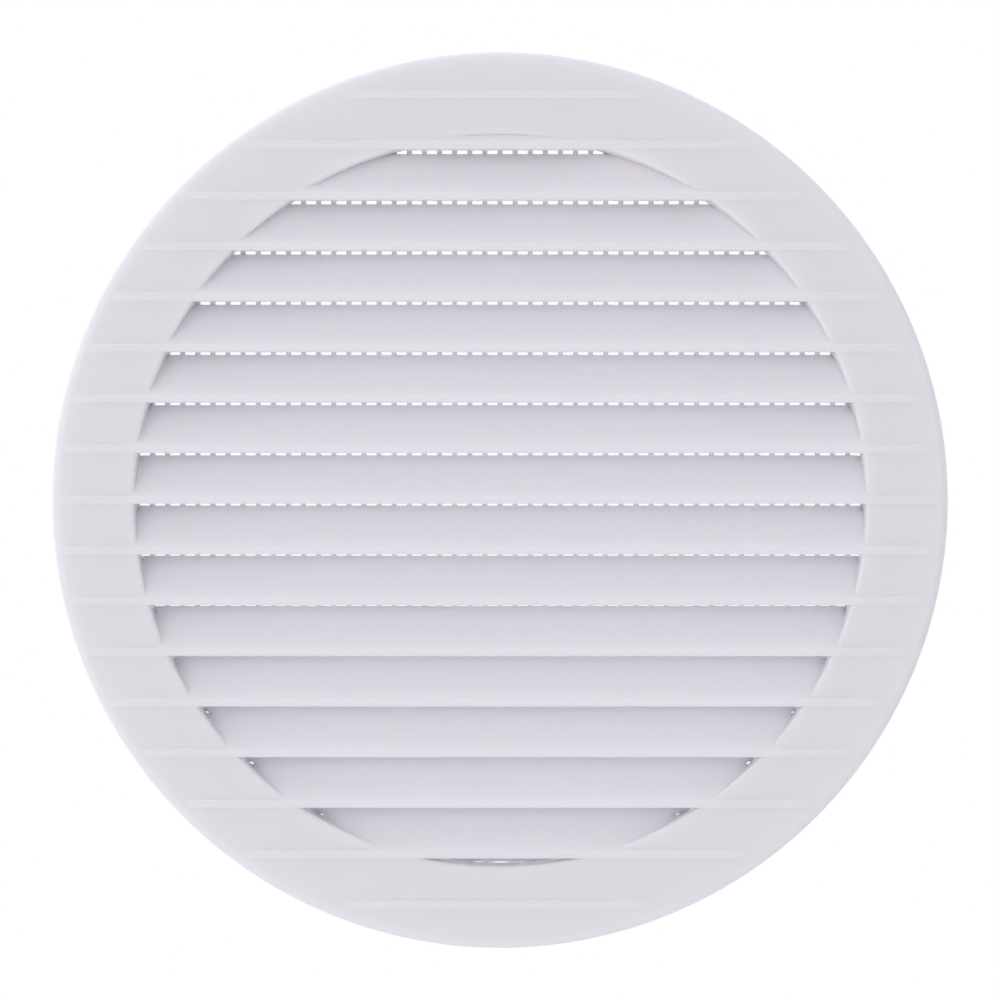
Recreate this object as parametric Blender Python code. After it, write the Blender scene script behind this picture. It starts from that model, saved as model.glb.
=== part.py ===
"""Round louvred vent grille with an insect screen and a sprung duct collar.

Frame: the duct's axis is Y, the wall's surface is the plane y = 0, and the
face looks towards -Y. +Z is up. Lengths are in metres; MM turns the
millimetres of the dimensions below into them.
"""

import math

import bmesh
import bpy
from mathutils import Matrix, Vector

MM = 0.001

# --- face: the round front moulding ---------------------------------------
FACE_RADIUS = 90.0 * MM
FACE_DEPTH = 12.0 * MM  # how far the rim stands in front of the wall
EDGE_RADIUS = 1.8 * MM  # rounding of the rim's outer edge
PLATE = 2.0 * MM  # thickness of the rim's front wall
SKIRT = 1.8 * MM  # thickness of the rim's outer wall
OPENING_RADIUS = 74.2 * MM  # at the front surface
OPENING_EDGE = 0.75 * MM  # rounding of the opening's front edge
SLEEVE_REAR_RADIUS = 73.4 * MM  # the opening's wall narrows to this
SLEEVE_OUTER_RADIUS = 75.2 * MM
TURN_STEPS = 72

# --- louvres and the raised bars that run on over the rim -------------------
LOUVRE_PITCH = 10.16 * MM
BAR_COUNT = 17
BLADE_COUNT = 15  # the first and last bars lie on the rim alone
BAR_TOP = 1.05 * MM  # above the bar's own line
BAR_BOTTOM = -0.75 * MM
BAR_PROUD = 0.45 * MM
BAR_END_PROUD = 0.06 * MM
BAR_FLAT_RADIUS = 85.5 * MM  # outside this the bars sink into the rim
BAR_END_RADIUS = 88.2 * MM
BAR_END_STEPS = 4
BAR_ROOT = 1.4 * MM  # how deep a bar is set into the plate
LOUVRE_DEPTH = 8.15 * MM  # from a bar's front to its blade's rear edge
BLADE_REAR_TOP = 9.04 * MM
BLADE_REAR_EDGE = 0.75 * MM
BLADE_REAR_HEIGHT = 1.5 * MM
DRIP_LIP_DEPTH = 4.15 * MM  # a flat lip runs back from the bar's lower edge
DRIP_LIP_HEIGHT = 1.2 * MM
DRIP_LIP_SLOPE = 1.3 * MM  # its rear end meets the blade's underside over this

# --- insect screen -----------------------------------------------------------
PLAY = 0.3 * MM  # gap between pieces that touch
SCREEN_THICKNESS = 1.0 * MM
SCREEN_RADIUS = 78.2 * MM
SCREEN_MESH_RADIUS = 73.8 * MM
SCREEN_COLUMN = 12.25 * MM  # between upright bars, one of which is at x = 0
SCREEN_ROW = LOUVRE_PITCH  # between level bars, which lie behind the louvres
SCREEN_BAR = 1.04 * MM

# --- duct collar, a tube whose front lip the retaining ring holds -----------------
COLLAR_INNER_RADIUS = 75.5 * MM
COLLAR_OUTER_RADIUS = 76.4 * MM
COLLAR_DEPTH = 18.0 * MM  # behind the wall's surface
COLLAR_LEAD_IN = 2.5 * MM
COLLAR_CHAMFER = 0.4 * MM
COLLAR_LIP_INNER_RADIUS = 73.8 * MM
COLLAR_LIP_RADIUS = 77.4 * MM
COLLAR_LIP = 0.6 * MM
COLLAR_FILLET = 0.25 * MM

# --- retaining ring, which steps back over the collar's lip ---------------------
RING_RADIUS = 86.4 * MM
RING_THICKNESS = 1.2 * MM
RING_STEP = 1.2 * MM  # width of the ring's wall at its step

# --- screws that hold the ring to the face --------------------------------------
SCREW_COUNT = 4
SCREW_CIRCLE = 82.0 * MM
BOSS_RADIUS = 3.0 * MM
PILOT_RADIUS = 1.6 * MM
PILOT_DEPTH = 5.2 * MM
SCREW_SHANK_RADIUS = 1.25 * MM
SCREW_LENGTH = 6.0 * MM
SCREW_HEAD_RADIUS = 2.7 * MM
SCREW_HEAD = 1.15 * MM
SCREW_HEAD_EDGE = 0.5 * MM  # the head's rounding starts this far from its top
SCREW_HEAD_GAP = 0.05 * MM
RECESS_WIDTH = 0.7 * MM
RECESS_LENGTH = 2.8 * MM
RECESS_DEPTH = 0.7 * MM

# --- leaf springs and their rivets ----------------------------------------------
LEAF_COUNT = 4
LEAF_WIDTH = 10.0 * MM
LEAF_THICKNESS = 0.4 * MM
LEAF_FOOT_END = 17.2 * MM  # the foot runs from here forward to the bend
LEAF_BEND = 12.2 * MM
LEAF_CREST = 4.0 * MM
LEAF_TIP = 2.7 * MM
LEAF_RISE = 3.5 * MM  # the crest stands this far off the foot
LEAF_TIP_RISE = 3.05 * MM
LEAF_STRAIGHT = 0.9 * MM  # the foot is straight to this far behind the bend
LEAF_CREST_ROUND = 0.25 * MM
RIVET_OFFSET = 2.6 * MM
RIVET_PLACE = 14.9 * MM
RIVET_RADIUS = 1.0 * MM
RIVET_HEAD_RADIUS = 1.75 * MM
RIVET_HEAD = 0.5 * MM

WHITE_ABS = (0.80, 0.80, 0.82)
SCREEN_WHITE = (0.82, 0.84, 0.86)
ZINC = (0.62, 0.63, 0.65)
SPRING_STEEL = (0.55, 0.56, 0.58)
RIVET_ALUMINIUM = (0.72, 0.73, 0.74)

FRONT = -FACE_DEPTH
BAR_FRONT = FRONT - BAR_PROUD
BLADE_REAR = BAR_FRONT + LOUVRE_DEPTH
SCREEN_FRONT = BLADE_REAR + PLAY
SCREEN_BACK = SCREEN_FRONT + SCREEN_THICKNESS
RING_FRONT = SCREEN_BACK + PLAY
RING_BACK = RING_FRONT + RING_THICKNESS
LIP_BACK = RING_FRONT + COLLAR_LIP
LEAF_RADIUS = COLLAR_OUTER_RADIUS + PLAY + LEAF_THICKNESS / 2


def clear_scene():
    for thing in list(bpy.data.objects):
        bpy.data.objects.remove(thing, do_unlink=True)


def plastic_or_metal(name, colour, roughness, metallic=0.0):
    material = bpy.data.materials.new(name)
    material.use_nodes = True
    shader = material.node_tree.nodes["Principled BSDF"]
    shader.inputs["Base Color"].default_value = (*colour, 1.0)
    shader.inputs["Roughness"].default_value = roughness
    shader.inputs["Metallic"].default_value = metallic
    return material


def make_object(name, bm, material=None):
    """Turn a bmesh into an object with outward normals and smooth rounds."""
    bmesh.ops.recalc_face_normals(bm, faces=bm.faces)
    mesh = bpy.data.meshes.new(name)
    bm.to_mesh(mesh)
    bm.free()
    mesh.shade_smooth()
    mesh.set_sharp_from_angle(angle=math.radians(30))
    thing = bpy.data.objects.new(name, mesh)
    bpy.context.collection.objects.link(thing)
    if material:
        mesh.materials.append(material)
    return thing


def as_cutter(thing):
    thing.hide_render = True
    thing.display_type = "WIRE"
    return thing


def boolean(target, other, operation):
    modifier = target.modifiers.new(operation.lower(), "BOOLEAN")
    modifier.operation = operation
    modifier.solver = "EXACT"
    modifier.object = as_cutter(other)


def arc(centre, radius, start, end, steps):
    """Points (r, y) on an arc; angles in degrees, 0 outward and 90 to +Y."""
    points = []
    for i in range(steps + 1):
        angle = math.radians(start + (end - start) * i / steps)
        points.append(
            (
                centre[0] + radius * math.cos(angle),
                centre[1] + radius * math.sin(angle),
            )
        )
    return points


def turned(profile, steps=TURN_STEPS):
    """Spin a closed (r, y) outline round the Y axis; r = 0 ends are joined."""
    bm = bmesh.new()
    verts = [bm.verts.new((r, y, 0.0)) for r, y in profile]
    on_axis = profile[0][0] == 0.0 and profile[-1][0] == 0.0
    edges = [bm.edges.new(pair) for pair in zip(verts, verts[1:])]
    if not on_axis:
        edges.append(bm.edges.new((verts[-1], verts[0])))
    bmesh.ops.spin(
        bm,
        geom=verts + edges,
        cent=(0, 0, 0),
        axis=(0, 1, 0),
        angle=math.tau,
        steps=steps,
        use_merge=True,
    )
    bmesh.ops.remove_doubles(bm, verts=bm.verts, dist=1e-7)
    bmesh.ops.dissolve_degenerate(bm, edges=bm.edges, dist=1e-7)
    return bm


def lofted(loops):
    """Close a tube through loops of equal length, with flat ends."""
    bm = bmesh.new()
    rings = [[bm.verts.new(point) for point in loop] for loop in loops]
    count = len(loops[0])
    for near, far in zip(rings, rings[1:]):
        for i in range(count):
            j = (i + 1) % count
            bm.faces.new((near[i], near[j], far[j], far[i]))
    bm.faces.new(rings[0])
    bm.faces.new(rings[-1])
    return bm


def join(bms):
    """One bmesh that holds several separate solids."""
    whole = bmesh.new()
    for bm in bms:
        mesh = bpy.data.meshes.new("joined")
        bm.to_mesh(mesh)
        bm.free()
        whole.from_mesh(mesh)
        bpy.data.meshes.remove(mesh)
    return whole


def prism(outline, low, high):
    """Extrude an outline of (y, z) points along X from low to high."""
    return lofted([[(x, y, z) for y, z in outline] for x in (low, high)])


def block(low, high):
    bm = bmesh.new()
    bmesh.ops.create_cube(bm, size=1.0)
    size = Vector(high) - Vector(low)
    middle = (Vector(high) + Vector(low)) / 2
    bmesh.ops.transform(
        bm,
        matrix=Matrix.Translation(middle) @ Matrix.Diagonal((*size, 1.0)),
        verts=bm.verts,
    )
    return bm


def rod(radius, front, back, place=(0.0, 0.0), steps=24):
    """A cylinder along Y, centred on place = (x, z), with one face at each end."""
    bm = bmesh.new()
    stand = Matrix.Rotation(math.radians(90), 4, "X")
    middle = Matrix.Translation((place[0], (front + back) / 2, place[1]))
    bmesh.ops.create_cone(
        bm,
        cap_ends=True,
        cap_tris=False,
        segments=steps,
        radius1=radius,
        radius2=radius,
        depth=back - front,
        matrix=middle @ stand,
    )
    return bm


def places_on_circle(count, radius, first_angle):
    """(x, z) of equally spaced places, the first at first_angle degrees."""
    angles = [math.radians(first_angle + 360.0 * i / count) for i in range(count)]
    return [(radius * math.cos(a), radius * math.sin(a)) for a in angles]


SCREW_PLACES = places_on_circle(SCREW_COUNT, SCREW_CIRCLE, 45.0)
LEAF_ANGLES = [math.tau * i / LEAF_COUNT for i in range(LEAF_COUNT)]


def bar_line(index):
    """Height of bar number index, counted from the top."""
    return ((BAR_COUNT - 1) / 2 - index) * LOUVRE_PITCH


def bar_solid(index):
    """A raised bar that sinks into the rim towards both ends."""
    line = bar_line(index)
    stations = []
    for step in range(BAR_END_STEPS + 1):
        fall = step / BAR_END_STEPS
        radius = BAR_END_RADIUS + (BAR_FLAT_RADIUS - BAR_END_RADIUS) * fall
        x = math.sqrt(radius**2 - (abs(line) + BAR_TOP) ** 2)
        stations.append((x, BAR_END_PROUD + (BAR_PROUD - BAR_END_PROUD) * fall))
    stations += [(-x, proud) for x, proud in stations[::-1]]
    loops = []
    for x, proud in stations:
        front = FRONT - proud
        outline = [
            (FRONT + BAR_ROOT, BAR_BOTTOM),
            (front, BAR_BOTTOM),
            (front, BAR_TOP - 0.75 * proud),
            (front + 0.3 * proud, BAR_TOP - 0.22 * proud),
            (front + 0.9 * proud, BAR_TOP),
            (FRONT + BAR_ROOT, BAR_TOP),
        ]
        loops.append([(x, y, line + z) for y, z in outline])
    return lofted(loops)


def blade_outline():
    """Cross-section (y, z) of a louvre, relative to its bar's line."""
    inset = 0.1 * MM  # the bar's own surface covers the blade's nose
    nose = BAR_FRONT + 2 * inset
    lip_rear = BAR_FRONT + DRIP_LIP_DEPTH
    lip_top = BAR_BOTTOM + DRIP_LIP_HEIGHT
    return [
        (nose, BAR_BOTTOM + inset),
        (nose, BAR_TOP - 2 * inset),
        (BLADE_REAR - BLADE_REAR_EDGE, BLADE_REAR_TOP),
        (BLADE_REAR, BLADE_REAR_TOP),
        (BLADE_REAR, BLADE_REAR_TOP - BLADE_REAR_HEIGHT),
        (lip_rear - DRIP_LIP_SLOPE, lip_top),
        (lip_rear, lip_top),
        (lip_rear, BAR_BOTTOM + inset),
    ]


def make_louvre_face(material):
    rear = BLADE_REAR
    edge = (FACE_RADIUS - EDGE_RADIUS, FRONT + EDGE_RADIUS)
    lip = (OPENING_RADIUS, FRONT + OPENING_EDGE)
    profile = [
        *arc(lip, OPENING_EDGE, 180.0, 270.0, 3),
        *arc(edge, EDGE_RADIUS, -90.0, 0.0, 5),
        (FACE_RADIUS, 0.0),
        (FACE_RADIUS - SKIRT, 0.0),
        (FACE_RADIUS - SKIRT, FRONT + PLATE),
        (SLEEVE_OUTER_RADIUS, FRONT + PLATE),
        (SLEEVE_OUTER_RADIUS, rear),
        (SLEEVE_REAR_RADIUS, rear),
    ]
    face = make_object("louvre_face", turned(profile), material)

    bosses = []
    for place in SCREW_PLACES:
        bosses.append(
            rod(BOSS_RADIUS, FRONT + PLATE / 2, RING_FRONT - PLAY, place)
        )
    boolean(face, make_object("boss_solids", join(bosses)), "UNION")
    pilots = []
    for place in SCREW_PLACES:
        start = RING_FRONT - PLAY - PILOT_DEPTH
        pilots.append(rod(PILOT_RADIUS, start, RING_BACK, place, 16))
    boolean(face, make_object("pilot_cutters", join(pilots)), "DIFFERENCE")

    half = FACE_RADIUS
    blades = []
    for index in range(1, BLADE_COUNT + 1):
        line = bar_line(index)
        outline = [(y, line + z) for y, z in blade_outline()]
        blades.append(prism(outline, -half, half))
    blade_solids = make_object("blade_solids", join(blades))
    within = SLEEVE_OUTER_RADIUS - PLAY
    trim = make_object("blade_trim", rod(within, FRONT - PLATE, PLATE, steps=TURN_STEPS))
    boolean(blade_solids, trim, "INTERSECT")
    boolean(face, blade_solids, "UNION")

    bars = [bar_solid(index) for index in range(BAR_COUNT)]
    boolean(face, make_object("bar_solids", join(bars)), "UNION")
    return face


def make_insect_screen(material):
    plate = rod(SCREEN_RADIUS, SCREEN_FRONT, SCREEN_BACK, steps=TURN_STEPS)
    screen = make_object("insect_screen", plate, material)
    cells = []
    half_width = (SCREEN_COLUMN - SCREEN_BAR) / 2
    half_height = (SCREEN_ROW - SCREEN_BAR) / 2
    columns = int(SCREEN_MESH_RADIUS / SCREEN_COLUMN) + 1
    rows = int(SCREEN_MESH_RADIUS / SCREEN_ROW) + 1
    for column in range(-columns, columns):
        for row in range(-rows, rows + 1):
            x = (column + 0.5) * SCREEN_COLUMN
            z = row * SCREEN_ROW
            near = math.hypot(
                max(abs(x) - half_width, 0), max(abs(z) - half_height, 0)
            )
            if near > SCREEN_MESH_RADIUS - 2 * SCREEN_BAR:
                continue
            low = (x - half_width, SCREEN_FRONT - PLAY, z - half_height)
            high = (x + half_width, SCREEN_BACK + PLAY, z + half_height)
            cells.append(block(low, high))
    cutter = make_object("screen_cells", join(cells))
    within = rod(SCREEN_MESH_RADIUS, FRONT, COLLAR_DEPTH, steps=TURN_STEPS)
    boolean(cutter, make_object("screen_cell_trim", within), "INTERSECT")
    boolean(screen, cutter, "DIFFERENCE")
    return screen


def make_duct_collar(material):
    profile = [
        (COLLAR_INNER_RADIUS, LIP_BACK),
        (COLLAR_LIP_INNER_RADIUS, LIP_BACK),
        (COLLAR_LIP_INNER_RADIUS, RING_FRONT),
        (COLLAR_LIP_RADIUS, RING_FRONT),
        (COLLAR_LIP_RADIUS, LIP_BACK),
        (COLLAR_OUTER_RADIUS + COLLAR_FILLET, LIP_BACK),
        (COLLAR_OUTER_RADIUS, LIP_BACK + COLLAR_FILLET),
        (COLLAR_OUTER_RADIUS, COLLAR_DEPTH - COLLAR_LEAD_IN),
        (COLLAR_OUTER_RADIUS - COLLAR_CHAMFER, COLLAR_DEPTH),
        (COLLAR_INNER_RADIUS, COLLAR_DEPTH),
    ]
    collar = make_object("duct_collar", turned(profile), material)
    holes = []
    for angle in LEAF_ANGLES:
        for side in (-1, 1):
            hole = rivet_rod(RIVET_RADIUS + PLAY, -PLATE, PLATE, side)
            turn_to_leaf(hole, angle)
            holes.append(hole)
    boolean(collar, make_object("collar_holes", join(holes)), "DIFFERENCE")
    return collar


def make_retaining_ring(material):
    step_radius = COLLAR_LIP_RADIUS + PLAY
    step_front = LIP_BACK + PLAY
    profile = [
        (step_radius, RING_FRONT),
        (RING_RADIUS, RING_FRONT),
        (RING_RADIUS, RING_BACK),
        (step_radius + RING_STEP, RING_BACK),
        (step_radius + RING_STEP, step_front + RING_THICKNESS),
        (COLLAR_OUTER_RADIUS + PLAY, step_front + RING_THICKNESS),
        (COLLAR_OUTER_RADIUS + PLAY, step_front),
        (step_radius, step_front),
    ]
    ring = make_object("retaining_ring", turned(profile), material)
    holes = [rod(PILOT_RADIUS, FRONT, COLLAR_DEPTH, place, 16) for place in SCREW_PLACES]
    boolean(ring, make_object("ring_holes", join(holes)), "DIFFERENCE")
    return ring


def make_screw(number, place, material):
    head_front = RING_BACK + SCREW_HEAD_GAP
    head_back = head_front + SCREW_HEAD
    tip = head_front - SCREW_LENGTH
    profile = [
        (0.0, tip),
        (SCREW_SHANK_RADIUS * 0.3, tip),
        (SCREW_SHANK_RADIUS, tip + 1.2 * MM),
        (SCREW_SHANK_RADIUS, head_front),
        (SCREW_HEAD_RADIUS, head_front),
        (SCREW_HEAD_RADIUS, head_back - SCREW_HEAD_EDGE),
        (SCREW_HEAD_RADIUS * 0.86, head_back - SCREW_HEAD_EDGE * 0.3),
        (SCREW_HEAD_RADIUS * 0.6, head_back),
        (0.0, head_back),
    ]
    screw = make_object(f"ring_screw_{number}", turned(profile, 16), material)
    screw.location = (place[0], 0.0, place[1])
    half = RECESS_LENGTH / 2
    thin = RECESS_WIDTH / 2
    floor = head_back - RECESS_DEPTH
    above = head_back + PLATE
    slots = lofted(
        [
            [
                (x, y, z)
                for x, z in (
                    (-half, -thin),
                    (-thin, -thin),
                    (-thin, -half),
                    (thin, -half),
                    (thin, -thin),
                    (half, -thin),
                    (half, thin),
                    (thin, thin),
                    (thin, half),
                    (-thin, half),
                    (-thin, thin),
                    (-half, thin),
                )
            ]
            for y in (floor, above)
        ]
    )
    cutter = make_object(f"screw_recess_{number}", slots)
    cutter.location = screw.location
    boolean(screw, cutter, "DIFFERENCE")
    return screw


def turn_to_leaf(bm, angle):
    """Turn a shape made at the right-hand side (+X) to a leaf's own place."""
    turn = Matrix.Rotation(-angle, 4, "Y")
    bmesh.ops.transform(bm, matrix=turn, verts=bm.verts)


def rivet_rod(radius, inner, outer, side, steps=16):
    """A radial cylinder at a rivet's place on the right-hand leaf."""
    bm = rod(radius, inner, outer, steps=steps)
    lay = Matrix.Rotation(math.radians(-90), 4, "Z")
    place = Vector((LEAF_RADIUS, RIVET_PLACE, side * RIVET_OFFSET))
    bmesh.ops.transform(bm, matrix=Matrix.Translation(place) @ lay, verts=bm.verts)
    return bm


def make_spring_leaf(number, angle, material):
    """A riveted spring strip, made at +X with its origin on its bend."""
    half = LEAF_THICKNESS / 2
    line = [
        Vector((0.0, LEAF_FOOT_END - LEAF_BEND)),
        Vector((0.0, LEAF_STRAIGHT)),
        Vector((LEAF_THICKNESS * 0.3, 0.0)),
        Vector((LEAF_THICKNESS * 1.25, -LEAF_STRAIGHT * 1.1)),
        Vector((LEAF_RISE - LEAF_CREST_ROUND, LEAF_CREST + LEAF_STRAIGHT - LEAF_BEND)),
        Vector((LEAF_RISE, LEAF_CREST - LEAF_BEND)),
        Vector((LEAF_TIP_RISE, LEAF_TIP - LEAF_BEND)),
    ]
    outer, inner = [], []
    for i, point in enumerate(line):
        before = line[max(i - 1, 0)]
        after = line[min(i + 1, len(line) - 1)]
        along = (after - before).normalized()
        normal = Vector((-along.y, along.x)) * half
        outer.append(point - normal)
        inner.append(point + normal)
    outline = outer + inner[::-1]
    wide = LEAF_WIDTH / 2
    loops = [[(r, y, z) for r, y in outline] for z in (-wide, wide)]
    leaf = make_object(f"spring_leaf_{number}", lofted(loops), material)

    holes = []
    for side in (-1, 1):
        hole = rivet_rod(RIVET_RADIUS + PLAY, -PLATE, PLATE, side)
        bmesh.ops.translate(hole, verts=hole.verts, vec=(-LEAF_RADIUS, -LEAF_BEND, 0))
        holes.append(hole)
    cutter = make_object(f"leaf_holes_{number}", join(holes))
    boolean(leaf, cutter, "DIFFERENCE")
    for thing in (leaf, cutter):
        thing.location = (
            LEAF_RADIUS * math.cos(angle),
            LEAF_BEND,
            LEAF_RADIUS * math.sin(angle),
        )
        thing.rotation_euler = (0.0, -angle, 0.0)
    return leaf


def make_rivet(name, angle, side, material):
    """A domed rivet through the collar's wall and a leaf's foot."""
    inside = COLLAR_INNER_RADIUS - LEAF_RADIUS - PLAY
    outside = LEAF_THICKNESS / 2 + PLAY
    profile = [
        (0.0, inside - RIVET_HEAD),
        (RIVET_HEAD_RADIUS * 0.55, inside - RIVET_HEAD * 0.85),
        (RIVET_HEAD_RADIUS * 0.95, inside - RIVET_HEAD * 0.3),
        (RIVET_HEAD_RADIUS, inside),
        (RIVET_RADIUS, inside),
        (RIVET_RADIUS, outside),
        (RIVET_HEAD_RADIUS, outside),
        (RIVET_HEAD_RADIUS * 0.9, outside + RIVET_HEAD * 0.5),
        (RIVET_HEAD_RADIUS * 0.5, outside + RIVET_HEAD * 0.92),
        (0.0, outside + RIVET_HEAD),
    ]
    bm = turned(profile, 12)
    lay = Matrix.Rotation(math.radians(-90), 4, "Z")
    bmesh.ops.transform(bm, matrix=lay, verts=bm.verts)
    rivet = make_object(name, bm, material)
    place = Matrix.Rotation(-angle, 4, "Y") @ Vector(
        (LEAF_RADIUS, RIVET_PLACE, side * RIVET_OFFSET)
    )
    rivet.location = place
    rivet.rotation_euler = (0.0, -angle, 0.0)
    return rivet


def build():
    clear_scene()
    white = plastic_or_metal("white_abs", WHITE_ABS, 0.42)
    make_louvre_face(white)
    make_insect_screen(plastic_or_metal("screen_white", SCREEN_WHITE, 0.5))
    collar_white = plastic_or_metal("collar_white", WHITE_ABS, 0.45)
    make_duct_collar(collar_white)
    make_retaining_ring(collar_white)
    zinc = plastic_or_metal("zinc_plate", ZINC, 0.35, 1.0)
    for number, place in enumerate(SCREW_PLACES, start=1):
        make_screw(number, place, zinc)
    steel = plastic_or_metal("spring_steel", SPRING_STEEL, 0.3, 1.0)
    aluminium = plastic_or_metal("rivet_aluminium", RIVET_ALUMINIUM, 0.35, 1.0)
    for number, angle in enumerate(LEAF_ANGLES, start=1):
        make_spring_leaf(number, angle, steel)
        for letter, side in (("a", -1), ("b", 1)):
            make_rivet(f"leaf_rivet_{number}{letter}", angle, side, aluminium)


build()
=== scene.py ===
"""Looks of a round louvred vent grille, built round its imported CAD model.

The duct's axis is Y, the wall's surface is y = 0, the face looks towards -Y and
+Z is up. Lengths are in metres, and MM turns millimetres into them. Outer sizes
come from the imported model's boxes. The other dimensions repeat the CAD's, or are
details that it leaves out.
"""

import math

import bmesh
import bpy
from mathutils import Matrix, Vector


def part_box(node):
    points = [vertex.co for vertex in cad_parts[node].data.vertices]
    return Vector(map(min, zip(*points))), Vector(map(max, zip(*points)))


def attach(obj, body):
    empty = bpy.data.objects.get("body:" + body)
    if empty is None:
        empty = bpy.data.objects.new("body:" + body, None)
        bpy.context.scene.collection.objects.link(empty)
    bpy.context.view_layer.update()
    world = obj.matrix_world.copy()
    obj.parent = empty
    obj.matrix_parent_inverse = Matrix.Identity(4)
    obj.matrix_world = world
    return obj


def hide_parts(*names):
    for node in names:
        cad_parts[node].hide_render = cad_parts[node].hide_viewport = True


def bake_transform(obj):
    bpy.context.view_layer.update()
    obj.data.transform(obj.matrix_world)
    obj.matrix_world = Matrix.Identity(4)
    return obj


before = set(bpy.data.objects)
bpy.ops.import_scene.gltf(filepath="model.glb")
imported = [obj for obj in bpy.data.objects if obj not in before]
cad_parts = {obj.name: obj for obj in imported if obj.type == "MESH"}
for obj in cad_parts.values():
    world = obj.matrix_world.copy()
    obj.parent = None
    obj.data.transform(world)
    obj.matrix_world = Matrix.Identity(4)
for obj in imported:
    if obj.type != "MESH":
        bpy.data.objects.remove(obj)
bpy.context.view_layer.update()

MM = 0.001
WELD = 0.0002 * MM  # points nearer than this become one
BODY = "vent"

# --- face ---------------------------------------------------------------------
FACE_LOW, FACE_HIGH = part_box("louvre_face")
FACE_RADIUS = FACE_HIGH.x
BAR_FRONT = FACE_LOW.y
BAR_PROUD = 0.45 * MM
FRONT = BAR_FRONT + BAR_PROUD
EDGE_RADIUS = 1.8 * MM
PLATE = 2.0 * MM
SKIRT = 1.8 * MM
OPENING_EDGE = 0.75 * MM  # rounding of the opening's front edge
OPENING_RADIUS = 74.2 * MM - OPENING_EDGE  # to the opening's wall
SLEEVE_REAR_RADIUS = 73.4 * MM
SLEEVE_OUTER_RADIUS = 75.2 * MM
BOSS_RADIUS = 3.0 * MM
PILOT_RADIUS = 1.6 * MM
PILOT_DEPTH = 5.2 * MM
TURN_STEPS = 288

# --- louvres and the bars that run on over the rim ----------------------------
LOUVRE_PITCH = 10.16 * MM
BAR_COUNT = 17
BLADE_COUNT = 15
BAR_TOP = 1.05 * MM
BAR_BOTTOM = -0.75 * MM
BAR_ROUND = 0.5 * MM  # height of the rounding at a bar's upper edge
BAR_LOWER_ROUND = 0.12 * MM
BAR_END_PROUD = 0.03 * MM
BAR_FLAT_RADIUS = 85.0 * MM
BAR_END_RADIUS = 88.2 * MM
BAR_ROOT = 1.4 * MM
BLADE_REAR = BAR_FRONT + 8.15 * MM
BLADE_REAR_TOP = 9.04 * MM
BLADE_REAR_EDGE = 0.75 * MM
BLADE_REAR_HEIGHT = 1.5 * MM
DRIP_LIP_DEPTH = 4.15 * MM
DRIP_LIP_HEIGHT = 1.2 * MM
DRIP_LIP_SLOPE = 1.3 * MM
BLADE_EDGE = 0.2 * MM  # rounding of the blades' and drip lips' edges
BLADE_SINK = 0.03 * MM  # blades start this far inside their bar, clear of its faces
BLADE_NOTCH = 0.55 * MM  # the blades' rear corners stand off the wall by this
BLADE_NOTCH_DEPTH = 1.4 * MM  # halfway down; the notches get deeper down the face
BLADE_NOTCH_SLOPE = math.radians(0.7)

# --- insect screen ------------------------------------------------------------
SCREEN_LOW, SCREEN_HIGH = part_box("insect_screen")
NET_RADIUS = 73.8 * MM
NET_COLUMN = 12.25 * MM / 4  # the CAD screen has one upright bar in four
NET_ROW = LOUVRE_PITCH / 3  # and one level bar in three
NET_BAR = 1.04 * MM
NET_CHAMFER = 0.12 * MM
NET_INSET = 0.1 * MM  # the net is thinner than its rim by this on both sides

# --- duct collar and retaining ring -------------------------------------------
COLLAR_LOW, COLLAR_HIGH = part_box("duct_collar")
COLLAR_INNER_RADIUS = 75.5 * MM
COLLAR_OUTER_RADIUS = 76.4 * MM
COLLAR_LIP_INNER_RADIUS = 73.8 * MM
COLLAR_LIP = 0.6 * MM
COLLAR_LEAD_IN = 2.5 * MM
COLLAR_CHAMFER = 0.4 * MM
RING_LOW, RING_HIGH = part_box("retaining_ring")
RING_THICKNESS = 1.2 * MM
RING_STEP = 1.2 * MM
PLAY = 0.3 * MM

# --- screws -------------------------------------------------------------------
SCREWS = [f"ring_screw_{number}" for number in range(1, 5)]
SCREW_HEAD_RADIUS = 2.7 * MM
SCREW_HEAD = 1.15 * MM
SCREW_CORE_RADIUS = 1.1 * MM
THREAD_RADIUS = 1.5 * MM
THREAD_PITCH = 1.0 * MM
THREAD_RIDGE = 0.22  # half the width of the thread's foot, as a share of the pitch
TIP_TAPER = 1.4 * MM
TIP_BLUNT = 0.25  # radius at the very tip, as a share of the full one
THREAD_RUNOUT = 0.5 * MM
RECESS_DEPTH = 0.75 * MM
SCREW_TURN = math.radians(37.0)  # how far each screw is turned from the one before

# --- spring leaves and rivets -------------------------------------------------
LEAF_WIDTH = 10.0 * MM
LEAF_THICKNESS = 0.4 * MM
LEAF_RADIUS = COLLAR_OUTER_RADIUS + PLAY + LEAF_THICKNESS / 2
LEAF_BEND = 12.2 * MM
LEAF_FOOT = 5.0 * MM
LEAF_BEND_RADIUS = 3.0 * MM
LEAF_CREST = (3.62 * MM, -8.15 * MM)  # rise from the foot's line, y from the bend
LEAF_CREST_RADIUS = 1.1 * MM
LEAF_TIP = (3.05 * MM, -9.5 * MM)
LEAF_STEP = 0.35 * MM  # spacing of the points along the strip
LEAF_EDGE = 0.08 * MM
LEAF_CORNER = 1.4 * MM
RIVET_OFFSET = 2.6 * MM
RIVET_PLACE = 14.9 * MM
RIVET_PLAY = 0.1 * MM  # rivet holes are wider than their rivets by this all round
RIVET_SEAT = 0.02 * MM
METAL_EDGE = 40.0  # edges of leaves and rivets sharper than this, in degrees, stay
RIVET_RADIUS = 1.0 * MM
RIVET_HEAD_RADIUS = 1.75 * MM
RIVET_HEAD = 0.5 * MM


# --- mesh tools ---------------------------------------------------------------


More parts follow.
